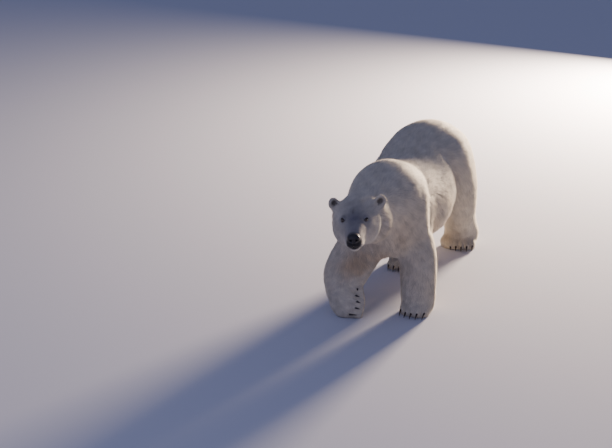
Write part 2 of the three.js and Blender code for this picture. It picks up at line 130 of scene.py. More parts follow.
def numbers(collection, name, kind, width=1):
    """One property of all vertices, edges or faces of a mesh as an array."""
    found = np.empty(len(collection) * width, kind)
    collection.foreach_get(name, found)
    return found.reshape(-1, width) if width > 1 else found


def nodes_at(points):
    """For each point, the index in FLESH of the part of the body that lies nearest."""
    return face_node[[body_surface.find_nearest(Vector(p))[2] for p in points]]


def is_kind(part, *kinds):
    """1 where a vertex belongs to one of the kinds of part, 0 elsewhere."""
    return np.isin(part, [list(PARTS).index(kind) for kind in kinds]).astype(float)


def eased(values, edges, passes, share=0.5):
    """Values at the vertices, each drawn towards the mean of its neighbours in each pass."""
    values = values.astype(float)
    columns = values if values.ndim > 1 else values[:, None]
    count = len(columns)
    ends = np.concatenate([edges[:, 0], edges[:, 1]])
    others = np.concatenate([edges[:, 1], edges[:, 0]])
    met = np.maximum(np.bincount(ends, minlength=count), 1)
    for _ in range(passes):
        for k in range(columns.shape[1]):
            mean = np.bincount(ends, columns[others, k], count) / met
            columns[:, k] += share * (mean - columns[:, k])
    return columns if values.ndim > 1 else columns[:, 0]


def normals_at(points, triangles):
    """The unit normal of the surface at each vertex."""
    a, b, c = (points[triangles[:, k]] for k in range(3))
    across = np.cross(b - a, c - a)
    total = np.zeros_like(points)
    for k in range(3):
        for axis in range(3):
            total[:, axis] += np.bincount(triangles[:, k], across[:, axis], len(points))
    return unit(total)


def unit(vectors):
    """Vectors made one long."""
    return vectors / np.maximum(np.linalg.norm(vectors, axis=-1, keepdims=True), 1e-12)


def shape_of(mesh):
    """A mesh's points, edges and triangles."""
    mesh.calc_loop_triangles()
    return (
        numbers(mesh.vertices, "co", float, 3),
        numbers(mesh.edges, "vertices", int, 2),
        numbers(mesh.loop_triangles, "vertices", int, 3),
    )


def as_modified(thing):
    """A thing's mesh with its modifiers applied."""
    seen = thing.evaluated_get(bpy.context.evaluated_depsgraph_get())
    made = bpy.data.meshes.new_from_object(seen)
    thing.modifiers.clear()
    return made


hide = bpy.data.objects.new("hide", bpy.data.meshes.new("hide"))
bpy.context.collection.objects.link(hide)
body.to_mesh(hide.data)
body.free()
remesh = hide.modifiers.new("one_skin", "REMESH")
remesh.mode = "VOXEL"
remesh.voxel_size = VOXEL
hide.data = as_modified(hide)

points, edges, triangles = shape_of(hide.data)
part = KIND_OF[nodes_at(points)]
values = np.array(list(PARTS.values()), float)[part]
roundness, depth = eased(values[:, :2], edges, 30).T
for _ in range(EASING_PASSES):
    points += (eased(points, edges, 1) - points) * roundness[:, None]

# The head's own axes run forward along the muzzle, to the bear's left, and up, and start between the
# eyes. Places on the face are told in them, in mm.
NOSE_DROP = math.radians(23.1)  # the nose lies this far below the muzzle's line, seen from the eyes
eyes = {side: middle(f"eye_{side}") for side in ("left", "right")}
between_eyes = (eyes["left"] + eyes["right"]) / 2
head_left = (eyes["left"] - eyes["right"]).normalized()
to_nose = middle("nose") - between_eyes
to_nose = (to_nose - to_nose.project(head_left)).normalized()
head_forward = Matrix.Rotation(-NOSE_DROP, 3, head_left) @ to_nose
head_up = head_forward.cross(head_left)
head_axes = np.array([head_forward, head_left, head_up])
EYE_OUT = (eyes["left"] - eyes["right"]).length / 2 / MM


def on_face(points):
    """Points of the row's frame in the face's axes, in mm."""
    return (points - np.array(between_eyes)) @ head_axes.T / MM


def ramp(x, start, end):
    """0 before start, 1 past end, and smooth in between. start may lie past end."""
    share = np.clip((x - start) / (end - start), 0, 1)
    return share * share * (3 - 2 * share)


def hump(distance, width):
    """1 at no distance, falling smoothly to 0 at a width on either side."""
    share = np.minimum(np.abs(distance) / width, 1)
    return (1 - share * share) ** 2


# The coat thins from the back of the head to the muzzle, and on the soles, which stand on the floor.
# Along the face, in mm ahead of the eyes: the coat's depth, length, width and spacing.
FACE_COAT = {
    -230: (14, 46, 4.5, 4.0),
    -120: (10, 32, 3.7, 3.4),
    -40: (6, 20, 3.0, 2.8),
    40: (4, 13, 2.4, 2.4),
    110: (2.2, 8, 2.0, 2.1),
}


def face_coat(f, column):
    """One column of FACE_COAT for each place f along the face."""
    return np.interp(f, list(FACE_COAT), [row[column] for row in FACE_COAT.values()])


f, l, u = on_face(points).T
on_head = eased(is_kind(part, "head", "ear"), edges, 12)
on_ear = eased(is_kind(part, "ear"), edges, 6)
on_paw = eased(is_kind(part, "paw"), edges, 8)
depth = depth * (1 - on_head) + on_head * (face_coat(f, 0) * (1 - on_ear) + PARTS["ear"][1] * on_ear)
depth = depth * (0.1 + 0.9 * ramp(points[:, 2], 4 * MM, 26 * MM))
points -= normals_at(points, triangles) * depth[:, None] * MM
hide.data.vertices.foreach_set("co", points.ravel())

KEPT_TRIANGLES = 112_000
STEPS = 10  # of keeping the mesh, from the head and paws to the plain body
thin = hide.vertex_groups.new(name="plain")
plain = np.clip(1 - on_head - on_paw, 0, 1)
for step in range(STEPS + 1):
    chosen = np.nonzero(np.round(plain * STEPS) == step)[0].tolist()
    thin.add(chosen, step / STEPS, "REPLACE")
decimate = hide.modifiers.new("fewer_on_the_body", "DECIMATE")
decimate.ratio = KEPT_TRIANGLES / len(triangles)
decimate.vertex_group = "plain"
decimate.vertex_group_factor = 10
hide.data = as_modified(hide)


# A finer mesh on the face, and finer still round the eyes.
def finer(where):
    """Splits the hide's faces whose middle passes a test on its place in the face's axes."""
    made = bmesh.new()
    made.from_mesh(hide.data)
    made.faces.ensure_lookup_table()
    places = on_face(np.array([face.calc_center_median() for face in made.faces]))
    chosen = [made.faces[i] for i in np.nonzero(where(*places.T))[0]]
    rims = {edge for face in chosen for edge in face.edges}
    bmesh.ops.subdivide_edges(made, edges=list(rims), cuts=1, use_grid_fill=True)
    made.to_mesh(hide.data)
    made.free()


EAR_AT = on_face(np.array([middle("ear_left"), middle("ear_right")]))
EYE_REACH = 34
finer(lambda f, l, u: (f > -45) & (f < 260) & (np.abs(l) < 120) & (u > -190) & (u < 90))
for place in EAR_AT:
    finer(lambda f, l, u: np.linalg.norm(np.array([f, l, u]).T - place, axis=1) < 72)
for reach in (EYE_REACH, EYE_REACH - 8):
    finer(lambda f, l, u: np.hypot(np.hypot(f, np.abs(l) - EYE_OUT), u) < reach)

points, edges, triangles = shape_of(hide.data)
f, l, u = on_face(points).T
fine = ramp(f, -60, -30) * ramp(np.hypot(l, u + 50), 170, 140)
for _ in range(3):
    points += (eased(points, edges, 1) - points) * fine[:, None]


def push(amount, way=None):
    """Moves the hide by an amount in mm at each vertex, outwards or in a given direction."""
    away = normals_at(points, triangles) if way is None else way
    points[:] += amount[:, None] * away * MM


def face_way(f, l, u):
    """A direction told in the face's axes."""
    return unit(np.array([f, l, u], float)) @ head_axes


# The muzzle: lips that hang a little over a mouth that is shut, a chin set back under them, a flat
# bridge and a hollow below each eye.
f, l, u = on_face(points).T
MOUTH_END = 22
mouth_line = -142 + 9 * ((f - 95) / 75) ** 2
off_line = u - mouth_line
muzzle = ramp(f, MOUTH_END - 8, MOUTH_END + 30) * ramp(f, 260, 240)
push(3.5 * muzzle * hump(off_line - 16, 20))
push(-7 * ramp(f, MOUTH_END, MOUTH_END + 40) * ramp(off_line, 2, -14) * ramp(u, -212, -170))
push(-9 * ramp(f, 140, 175) * ramp(off_line, 4, -12), face_way(1, 0, 0))
f, l, u = on_face(points).T
off_line = u - mouth_line
lip_groove = ramp(f, MOUTH_END - 6, MOUTH_END + 16) * hump(off_line, 7)
push(-5 * lip_groove)
philtrum = ramp(f, 150, 165) * hump(l, 6) * ramp(u, -142, -132) * ramp(u, -86, -100)
push(-4 * philtrum)
push(-4 * hump(l, 34) * ramp(f, 10, 60) * ramp(f, 170, 130) * ramp(u, -60, -20))
push(-5 * hump(np.hypot(f - 26, (np.abs(l) - 66) * 0.8), 34) * ramp(u, -70, -20))
push(-2.5 * hump(l, 14) * ramp(f, -150, -60) * ramp(f, 20, -20) * ramp(u, 0, 30))

# The eyes' lids: the hide lies over the ball, and is open in the shape of an almond, rimmed black.
EYE_RADIUS = 17
EYE_SUNK = 8  # how far the ball's middle lies behind the place that its node has
EYE_GAZE = unit(np.array([0.78, 0.55, 0.30]))  # for the left eye
LID = 2.2
OPENING = (12.5, 6.8)  # half the opening's length and height
lid_rim = np.zeros(len(points))
socket = np.zeros(len(points))
for out in (1, -1):
    gaze = EYE_GAZE * (1, out, 1)
    across = unit(np.cross((0, 0, 1), gaze)) * out
    above = unit(np.cross(gaze, across)) * out
    ball = np.array([0, out * EYE_OUT, 0]) - gaze * EYE_SUNK
    brow = np.linalg.norm(on_face(points) - ball - (-2, out * 2, 30), axis=1)
    push(6 * hump(brow, 26))
    corner = np.linalg.norm(on_face(points) - ball - (22, -out * 14, -6), axis=1)
    push(-3 * hump(corner, 16))
    place = on_face(points)
    away = place - ball
    far = np.linalg.norm(away, axis=1)
    along, high, ahead = away @ across, away @ above, away @ gaze
    above_line = high + 1 - 0.15 * along  # the outer corner lies higher
    almond = (np.abs(along) / OPENING[0]) ** 1.7 + (np.abs(above_line) / OPENING[1]) ** 1.7
    held = ramp(far, 36, 24) * ramp(ahead, -4, 6)
    upper = 1 + 0.8 * ramp(above_line, -2, 3)
    goal = np.where(almond < 1, EYE_RADIUS - 4.0, EYE_RADIUS + (LID + hump(almond - 1.4, 0.9)) * upper)
    wanted = ball + away * (goal / np.maximum(far, 1))[:, None]
    moved = place + (wanted - place) * held[:, None]
    points = moved @ head_axes * MM + np.array(between_eyes)
    lid_rim = np.maximum(lid_rim, held * hump(almond - 1.0, 0.75))
    socket = np.maximum(socket, held * (almond < 1))

# The ears: round, with a cup that opens forwards and outwards.
EAR_GROWTH = (0.26, 0.12)
EAR_TURN = (0.3, -0.65)  # outwards from straight ahead
cup = np.zeros(len(points))
for place, out, growth, turn in zip(EAR_AT, (1, -1), EAR_GROWTH, EAR_TURN):
    foot = place - (0, 20 * out, 34)
    away = on_face(points) - foot
    grown = growth * hump(np.linalg.norm(on_face(points) - place, axis=1), 92)[:, None]
    points += grown * away @ head_axes * MM
    opening = np.array([math.cos(turn), out * math.sin(turn), 0])
    tall = unit(np.array([0, 0.62 * out, 0.78]))
    tall = unit(tall - opening * (tall @ opening))
    wide = np.cross(tall, opening)
    away = on_face(points) - place
    span = np.hypot(away @ wide / 30, (away @ tall + 3) / 42)
    front = np.clip(normals_at(points, triangles) @ (opening @ head_axes), 0, 1)
    inside = hump(span, 1.05) * ramp(away @ opening, -9, 3) * ramp(front, 0.05, 0.5)
    push(-8 * inside, opening @ head_axes)
    cup = np.maximum(cup, inside)

# Muscle and loose skin: strokes along the body that raise an edge or press a furrow, each a path of
# places in mm, how far it moves the hide and how wide it is. The left side's are given, and moved over
# to the right side, where both legs stand further forward.


def from_line(points, start, end):
    """How far points lie from the straight line between two places."""
    share = np.clip((points - start) @ (end - start) / ((end - start) @ (end - start)), 0, 1)
    return np.linalg.norm(points - start - share[:, None] * (end - start), axis=1)


def from_path(points, path):
    """How far points lie from a path of straight lines."""
    return np.min([from_line(points, a, b) for a, b in zip(path, path[1:])], axis=0)


def stroke(places, path, amount, width):
    """Moves the hide along a path. It fades over the width, and to the path's first place."""
    path = np.array(path, float)
    far = from_path(places, path)
    fade = ramp(np.linalg.norm(places - path[0], axis=1), 0, np.linalg.norm(path[-1] - path[0]) * 0.4)
    push(amount * hump(far, width) * (0.25 + 0.75 * fade))


BODY_STROKES = [
    # behind the shoulder blade and the upper arm, and the arm's own back edge
    ([(120, 20, 945), (215, -40, 870), (250, -100, 800), (262, -155, 720), (272, -180, 560)], -19, 62),
    ([(110, -60, 965), (185, -125, 905), (235, -195, 830), (262, -262, 700), (285, -262, 570)], 11, 70),
    # between flank and haunch, the flank's hind edge and the haunch
    ([(190, 450, 995), (235, 423, 933), (271, 412, 867), (306, 445, 732), (285, 520, 560)], -26, 78),
    ([(220, 330, 960), (285, 320, 860), (320, 330, 740), (300, 410, 600)], 12, 95),
    ([(250, 560, 950), (330, 560, 820), (365, 590, 680)], 9, 110),
    # the loose skin between chest and upper arm
    ([(120, -470, 800), (150, -440, 690), (120, -420, 560)], -9, 60),
]
FORE_MIDDLE, HIND_MIDDLE = 7, 39  # x of the body's middle over the fore and hind legs
FORE_SHIFT, HIND_SHIFT = -50, -75
for path, amount, width in BODY_STROKES:
    stroke(points / MM, path, amount, width)
    is_fore = path[0][1] < 100
    middle_x, shift = (FORE_MIDDLE, FORE_SHIFT) if is_fore else (HIND_MIDDLE, HIND_SHIFT)
    across_body = [(2 * middle_x - x, y + shift, z) for x, y, z in path]
    stroke(points / MM, across_body, amount, width)

# The cheeks end in an edge that runs from ear to chin, with a furrow behind it and then the ruff.
CHEEK_STROKES = [
    ([(-140, 150, 27), (-146, 168, -33), (-118, 158, -100), (-90, 113, -156), (-80, 54, -194)], -13, 34),
    ([(-96, 150, 10), (-100, 160, -40), (-76, 146, -100), (-52, 104, -150), (-40, 40, -188)], 7, 40),
    ([(-215, 175, 10), (-225, 190, -60), (-195, 175, -150), (-170, 110, -210)], 20, 72),
]
for path, amount, width in CHEEK_STROKES:
    for out in (1, -1):
        stroke(on_face(points), [(f, l * out, u) for f, l, u in path], amount, width)

# The paws: five toes swell behind their claws with a crease between each two, and black pads lie
# bare under the sole.


def claw_ends(limb, k):
    """The middle of a claw's root, and its tip."""
    claws = [numbers(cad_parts[f"{limb}_claw_{n}"].data.vertices, "co", float, 3) for n in CLAWS]
    outwards = unit(np.mean([claw.mean(0) for claw in claws], axis=0) - middle(f"{limb}_paw"))
    claw = claws[k - 1]
    reach = claw @ outwards
    near_root = reach < reach.min() + 0.2 * (reach.max() - reach.min())
    return claw[near_root].mean(0), claw[np.argmax(reach)]


def paw_of(limb):
    """A paw's claw roots, and its ways forward and up to its back."""
    ends = [claw_ends(limb, k) for k in CLAWS]
    roots = np.array([root for root, tip in ends])
    forward = unit(np.mean([unit(tip - root) for root, tip in ends], axis=0))
    up = unit(np.cross(forward, roots[-1] - roots[0]))
    return roots, unit(np.cross(roots[-1] - roots[0], up)), up


CLAWS = range(1, 6)
TOE_LENGTH = 46
TURNED_PAW, TOES_PAST = "fore_right", 24  # its toes reach past their claws, which lie on its back
pads = np.zeros(len(points))
for limb in LIMBS:
    roots, forward, up = paw_of(limb)
    roots = roots / MM
    for root in roots:
        push(6 * hump(from_line(points / MM, root, root - forward * TOE_LENGTH), 23))
    for start in (roots[1:] + roots[:-1]) / 2:
        push(-8 * hump(from_line(points / MM, start + forward * 20, start - forward * TOE_LENGTH), 12))
    if limb == TURNED_PAW:
        ends = roots + forward * 34 - up * 26
        push(TOES_PAST * hump(from_line(points / MM, ends[0], ends[-1]), 50), forward)
    below = -(normals_at(points, triangles) @ up)
    for root in roots:
        place = root - forward * 16 - up * 44
        pads = np.maximum(pads, hump(np.linalg.norm(points / MM - place, axis=1), 30) * ramp(below, 0, 0.5))
    place = roots.mean(0) - forward * 88 - up * 50
    pads = np.maximum(pads, hump(np.linalg.norm(points / MM - place, axis=1), 78) * ramp(below, 0, 0.5))
pads = ramp(pads, 0.12, 0.4)
push(3 * pads)
OFF_FLOOR = 0.5 * MM  # nothing reaches below this height
points[:, 2] = np.maximum(points[:, 2], OFF_FLOOR)
hide.data.vertices.foreach_set("co", points.ravel())
hide.data.update()
hide.data.polygons.foreach_set("use_smooth", [True] * len(hide.data.polygons))
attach(hide, "root")
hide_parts(*FLESH)

# ---------------------------------------------------------------------------------------------------
# The lie of the coat: on each spot of the hide, which way the hair lies, how long and how shaggy it
# is, and its markings. The hide and the tufts on it carry the same markings.
points, edges, triangles = shape_of(hide.data)
normals = normals_at(points, triangles)
node = nodes_at(points)
part = KIND_OF[node]
place = on_face(points)
f, l, u = place.T
on_head = eased(is_kind(part, "head", "ear"), edges, 10)
on_ear = eased(is_kind(part, "ear"), edges, 3)

DOWN, BACKWARDS = np.array([0, 0, -1]), np.array([0, 1, 0])
sideways = (1 - np.abs(normals[:, 2]))[:, None]
LIE = {
    "trunk": BACKWARDS + DOWN * 0.9 * sideways,
    "neck": BACKWARDS + DOWN * 0.8 * sideways,
    "upper": BACKWARDS * 0.4 + DOWN,
    "lower": BACKWARDS * 0.2 + DOWN,
    "tail": BACKWARDS * 0.2 + DOWN,
}
lie = np.zeros_like(points)
for kind, way in LIE.items():
    lie += is_kind(part, kind)[:, None] * way
cheek = ramp(np.abs(l), 30, 110) * ramp(u, 30, -60)
face_hair = np.stack([-1 + 0.3 * cheek, np.sign(l) * 0.45 * cheek, -0.15 - 0.55 * cheek], 1)
lie += is_kind(part, "head")[:, None] * (face_hair @ head_axes)
for place_of_ear, name in zip(EAR_AT, ("ear_left", "ear_right")):
    outwards = unit(place - place_of_ear + (0, 0, 70))
    lie += (node == FLESH.index(name))[:, None] * (outwards @ head_axes)
for limb in LIMBS:
    roots, forward, up = paw_of(limb)
    toes = ramp(np.linalg.norm(points - roots.mean(0), axis=1), 0.21, 0.1)[:, None]
    paw_lie = toes * (forward - 0.35 * up) + DOWN * (1 - 0.75 * toes)
    lie += (node == FLESH.index(f"{limb}_paw"))[:, None] * paw_lie


def laid(ways):
    """Directions pressed flat onto the hide."""
    return unit(ways - normals * (ways * normals).sum(1)[:, None])


def waver(points, size, seed):
    """A value that swells between about -1 and 1 over a size in metres."""
    draw = np.random.RandomState(seed)
    total = np.zeros(len(points))
    for _ in range(5):
        way = unit(draw.normal(size=3)) * draw.uniform(0.75, 1.3) * 2 * np.pi / size
        total += np.sin(points @ way + draw.uniform(0, 2 * np.pi))
    return total / 2.4


lie = laid(unit(lie))
for _ in range(6):
    lie = laid(eased(lie, edges, 5))
turn = 0.22 * waver(points, 0.30, 1) + 0.13 * waver(points, 0.09, 2)
turn = (turn * (1 - 0.6 * on_head))[:, None]
lie = lie * np.cos(turn) + np.cross(normals, lie) * np.sin(turn)

# Depth, length, width and spacing come from the parts, and run into each other.
values = np.array(list(PARTS.values()), float)[part][:, 1:]
on_face_only = on_head * (1 - on_ear)
for column in range(4):
    values[:, column] = eased(values[:, column], edges, 14)
    head_value = face_coat(f, column)
    values[:, column] += on_face_only * (head_value - values[:, column])
    values[:, column] += on_ear * (PARTS["ear"][column + 1] - values[:, column])
depth, length, width, spacing = values.T

# Shaggy hair hangs under belly and flanks, down the backs of the legs, and in a ruff behind the
# cheeks.
under = ramp(normals[:, 2], 0.15, -0.5)
behind = ramp(normals[:, 1], 0.1, 0.8)
ruff = hump(f + 165, 75) * ramp(u, 40, -20) * ramp(np.abs(l), 60, 110) * on_head
shaggy = is_kind(part, "trunk") * np.maximum(under, 0.6 * ramp(points[:, 2], 0.95, 0.7))
shaggy += is_kind(part, "neck") * under * 0.7
shaggy += is_kind(part, "upper", "lower") * np.maximum(behind, 0.3)
shaggy = np.clip(eased(shaggy, edges, 20) * (1 + 0.5 * waver(points, 0.14, 7)) + ruff, 0, 1)

# Markings: cream and tan on the coat that the sun has yellowed, and a tan patch from the chest down the
# right foreleg; grey where the hair is thin over dark skin on the muzzle, and painted shade as grey on the
# muzzle's top, the forehead and round the eyes; black on bare skin, and painted shade as black between nose
# and lips and inside the ears' cups.
# A tan patch from the chest down the right foreleg.
TAN_PATH = np.array([(-25, -445, 472), (-85, -465, 430), (-175, -531, 380)], float)
tan_patch = hump(from_path(points / MM, TAN_PATH), 125) * (0.8 + 0.3 * waver(points, 0.08, 9))
warm = 0.2 * shaggy + 0.2 * behind * is_kind(part, "upper", "lower") + 0.65 * tan_patch
warm = np.clip(eased(warm, edges, 12) * (1 + 0.35 * waver(points, 0.15, 3)), 0, 1)
# Painted shade in grey: on the forehead and round the eyes it stands for shade only; on the muzzle's top it
# is partly thin hair over dark skin and partly painted shade.
muzzle_top_grey_and_painted_shade = ramp(u, -135, -60) * hump(l, 135) * ramp(f, -60, 60)
painted_forehead_shade = hump(l, 120) * hump(f + 40, 140) * ramp(u, -30, 20)
# The lips' black skin, with painted shade as black between the nose and the lips.
lips_and_painted_shade = ramp(f, 118, 142) * ramp(np.hypot(l / 47, (u + 102) / 48), 1.12, 0.9)
nose_at = on_face(np.array([middle("nose")]))[0]
nose_edge = hump(np.linalg.norm((place - nose_at) / (44, 46, 38), axis=1) - 0.6, 0.75)
painted_shade_round_eyes = hump(np.hypot(np.hypot(f + 6, np.abs(l) - EYE_OUT), u), 42)
grey_and_painted_shade = on_head * np.clip(0.75 * muzzle_top_grey_and_painted_shade + 0.4 * painted_forehead_shade + 0.6 * painted_shade_round_eyes + 0.1, 0, 1)
dark = np.maximum.reduce([lips_and_painted_shade, nose_edge * 0.9, ramp(lid_rim, 0.15, 0.6), socket, 0.9 * lip_groove])
# Painted shade: the inside of each ear's cup is darkened towards black.
dark = np.maximum(dark, 0.72 * ramp(cup, 0.05, 0.55))
sole = np.maximum(pads, is_kind(part, "paw") * ramp(points[:, 2], 7 * MM, 3 * MM))
dark = np.clip(np.maximum(dark, sole), 0, 1)
bare = np.maximum.reduce([socket, ramp(lid_rim, 0.1, 0.4), 0.3 * lips_and_painted_shade, ramp(nose_edge, 0.35, 0.7), sole])
bare = np.maximum(bare, ramp(lip_groove, 0.5, 0.9))


def set_attribute(mesh, name, values):
    """Puts one value at each vertex of a mesh."""
    made = mesh.attributes.new(name, "FLOAT", "POINT")
    made.data.foreach_set("value", np.ascontiguousarray(values, np.float32))


MARKINGS = {"warm": warm, "grey_and_painted_shade": grey_and_painted_shade, "dark": dark}
for name, values in MARKINGS.items():
    set_attribute(hide.data, name, values)

# The hide laid out flat in patches, which the tufts' own patches follow.
bpy.ops.object.select_all(action="DESELECT")
hide.select_set(True)
bpy.context.view_layer.objects.active = hide
hide.data.uv_layers.new(name="OFBake")
bpy.ops.object.mode_set(mode="EDIT")
bpy.ops.mesh.select_all(action="SELECT")
bpy.ops.uv.smart_project(angle_limit=math.radians(66), island_margin=0.002)
bpy.ops.object.mode_set(mode="OBJECT")


# ---------------------------------------------------------------------------------------------------
# Polar bear fur, hollow hairs without colour over black skin: it scatters the light to a soft cream, yellows
# in the sun, and looks grey or black where it is thin. Its colour also carries painted shade: darker roots
# and hide under the coat, and grey and black on parts of the face and in the ears.
def linear(hex_colour):
    """An sRGB hex colour as linear RGBA."""
    parts = [int(hex_colour[k : k + 2], 16) / 255 for k in (1, 3, 5)]
    return (*[p / 12.92 if p <= 0.04045 else ((p + 0.055) / 1.055) ** 2.4 for p in parts], 1)


def add(material, kind, inputs, **settings):
    """Adds a node with its settings. Each input, by name or number, gets a socket or a value."""
    made = material.node_tree.nodes.new(kind)
    for key, value in settings.items():
        setattr(made, key, value)
    for key, value in inputs.items():
        if isinstance(value, bpy.types.NodeSocket):
            material.node_tree.links.new(value, made.inputs[key])
        else:
            made.inputs[key].default_value = value
    return made


def new_material(name, **values):
    """A material with its shader, and the values that are the same all over it."""
    made = bpy.data.materials.new(name)
    made.use_nodes = True
    shader = made.node_tree.nodes["Principled BSDF"]
    for key, value in values.items():
        shader.inputs[key.replace("_", " ")].default_value = value
    return made, shader


fur, shader = new_material("polar_bear_fur", Roughness=0.72, Sheen_Weight=0.28, Sheen_Roughness=0.45)
shader.inputs["Sheen Tint"].default_value = linear("#fff1da")
mark = {
    name: add(fur, "ShaderNodeAttribute", {}, attribute_name=name).outputs["Fac"]
    for name in ("warm", "grey_and_painted_shade", "dark", "along", "across", "tint")
}
where = add(fur, "ShaderNodeTexCoord", {}).outputs["Object"]
CREAM_PATCH = 70 * MM  # the coat's own cream varies over about a hand's breadth
noise = {"Vector": where, "Scale": 1 / CREAM_PATCH, "Detail": 2.0}
patches = add(fur, "ShaderNodeTexNoise", noise).outputs["Fac"]
fur_tone = linear("#e3dac6")
# The grey layer is partly painted shade, and the black layer holds painted shade between nose and lips and
# in the ears' cups.
FUR_LAYERS = (
    (patches, "#f1ebdc"),
    (mark["warm"], "#cfa468"),
    (mark["grey_and_painted_shade"], "#7f7d86"),
    (mark["dark"], "#17141a"),
)
for share, colour in FUR_LAYERS:
    layer = add(fur, "ShaderNodeMix", {0: share, 6: fur_tone, 7: linear(colour)}, data_type="RGBA")
    fur_tone = layer.outputs[2]
# A tuft is darker at its root, and the hide under the coat is as dark as a root: painted shade of the coat
# over them. Each tuft has a tone of its own and finer strands across it.
STRANDS = 8.0  # radians of the strands' wave from a tuft's middle to its side
OWN_TONE, STRAND_TONE = 0.085, 0.05
wave = {0: mark["across"], 1: STRANDS, 2: mark["tint"]}
wave = add(fur, "ShaderNodeMath", wave, operation="MULTIPLY_ADD")
strands = add(fur, "ShaderNodeMath", {0: wave.outputs[0]}, operation="SINE").outputs[0]
own = add(fur, "ShaderNodeMath", {0: mark["tint"], 1: OWN_TONE, 2: 1.0}, operation="MULTIPLY_ADD")
tone = {0: strands, 1: STRAND_TONE, 2: own.outputs[0]}
tone = add(fur, "ShaderNodeMath", tone, operation="MULTIPLY_ADD").outputs[0]
# Painted shade: the coat's colour runs from 0.76 at the roots and on the hide to 1.02 at the tips.
from_root = {"Value": mark["along"], "To Min": 0.76, "To Max": 1.02}
painted_root_shade = add(fur, "ShaderNodeMapRange", from_root).outputs[0]
shade = add(fur, "ShaderNodeMath", {0: tone, 1: painted_root_shade}, operation="MULTIPLY").outputs[0]
shaded = {0: 1.0, 6: fur_tone, 7: shade}
shaded = add(fur, "ShaderNodeMix", shaded, data_type="RGBA", blend_type="MULTIPLY")
fur.node_tree.links.new(shaded.outputs[2], shader.inputs["Base Color"])
relief = add(fur, "ShaderNodeBump", {"Strength": 0.35, "Distance": 0.6 * MM, "Height": strands})
fur.node_tree.links.new(relief.outputs["Normal"], shader.inputs["Normal"])
hide.data.materials.append(fur)

# ---------------------------------------------------------------------------------------------------
# The coat: some three hundred thousand tufts that lie over one another like thatch, each a lock of
# guard hair with a ridge on its back. It grows from under the skin and narrows to a tip.
SPIKE = ((0, 2, 3), (2, 1, 3), (1, 0, 3), (0, 1, 2))  # left, right, ridge, tip
SPIKE_ALONG = (0, 0, 0, 1)
SPIKE_ACROSS = (-1, 1, 0, 0)
SPIKE_PATCH = ((0, 0), (1, 0), (0.5, 0.2), (0.5, 1))
PATCH = 0.003  # one tuft's share of the hide's flat layout
ROOT_DEPTH = 2 * MM
CLUMP = 30 * MM
STRAY = 0.13  # how far tufts turn from the lie of the coat, in radians
SHAGGIER = 0.8  # how much longer and higher a tuft is where the coat is at its shaggiest
DROOP = 0.3  # the share of its length that such a tuft hangs down

corners = points[triangles]
areas = np.linalg.norm(np.cross(corners[:, 1] - corners[:, 0], corners[:, 2] - corners[:, 0]), axis=1) / 2
wanted = areas / (spacing[triangles].mean(1) * MM) ** 2 * (1 - bare[triangles].mean(1))
reached = np.cumsum(wanted)
tufts = int(reached[-1])
draw = np.random.RandomState(11)
picked = np.searchsorted(reached, (np.arange(tufts) + draw.uniform(size=tufts)) * reached[-1] / tufts)
picked = np.minimum(picked, len(triangles) - 1)
first, second = draw.uniform(size=(2, tufts))
over = first + second > 1
first[over], second[over] = 1 - first[over], 1 - second[over]
weights = np.stack([1 - first - second, first, second], 1)


def at_roots(values):
    """Values at the hide's vertices, as they are at each tuft's root."""
    found = values[triangles[picked]]
    return (found * (weights if values.ndim == 1 else weights[:, :, None])).sum(1)


hide_surface = BVHTree.FromPolygons(points.tolist(), triangles.tolist())


def on_hide(places, reach):
    """The hide's nearest points to some places, no further off than a reach, and its normals there."""
    hits = [hide_surface.find_nearest(Vector(place)) for place in places]
    step = np.array([tuple(hit[0]) for hit in hits]) - places
    far = np.linalg.norm(step, axis=1)
    step *= (np.minimum(far, reach) / np.maximum(far, 1e-9))[:, None]
    return places + step, np.array([tuple(hit[1]) for hit in hits])


root = at_roots(points)
out = unit(at_roots(normals))
way = unit(at_roots(lie))
wild = at_roots(shaggy)
jitter = (draw.normal(size=tufts) * STRAY * (1 + wild))[:, None]
way = way * np.cos(jitter) + np.cross(out, way) * np.sin(jitter)
way = unit(way - out * (way * out).sum(1)[:, None])
long = at_roots(length) * MM * draw.uniform(0.75, 1.25, tufts) * (1 + SHAGGIER * wild)
high = at_roots(depth) * MM * draw.uniform(0.6, 0.95, tufts) * (1 + SHAGGIER * wild)
broad = at_roots(width) * MM * draw.uniform(0.75, 1.25, tufts)

tip, tip_out = on_hide(root + way * long[:, None], 0.5 * long)
tip += tip_out * high[:, None] + DOWN * (DROOP * wild * long)[:, None]

# Tips draw together into locks.
cell = np.floor((root + 0.3 * CLUMP * np.stack([waver(root, 0.11, k) for k in (4, 5, 6)], 1)) / CLUMP)
_, lock = np.unique(cell, axis=0, return_inverse=True)
lock = lock.ravel()
members = np.bincount(lock)
mean_tip = np.stack([np.bincount(lock, tip[:, k]) / members for k in range(3)], 1)[lock]
drawn = (0.12 + 0.5 * wild) * np.minimum(1, long / (40 * MM))
pull = (mean_tip - tip) * drawn[:, None]
pull *= np.minimum(1, 0.45 * long / np.maximum(np.linalg.norm(pull, axis=1), 1e-9))[:, None]
tip += pull

heading = unit(tip - root)
aside = unit(np.cross(heading, out))
start = root - out * ROOT_DEPTH
spikes = np.empty((tufts, 4, 3))
spikes[:, 0] = start - aside * 0.5 * broad[:, None]
spikes[:, 1] = start + aside * 0.5 * broad[:, None]
spikes[:, 2] = start + unit(np.cross(aside, heading)) * 0.45 * broad[:, None]
spikes[:, 3] = tip
spikes[:, :, 2] = np.maximum(spikes[:, :, 2], OFF_FLOOR)

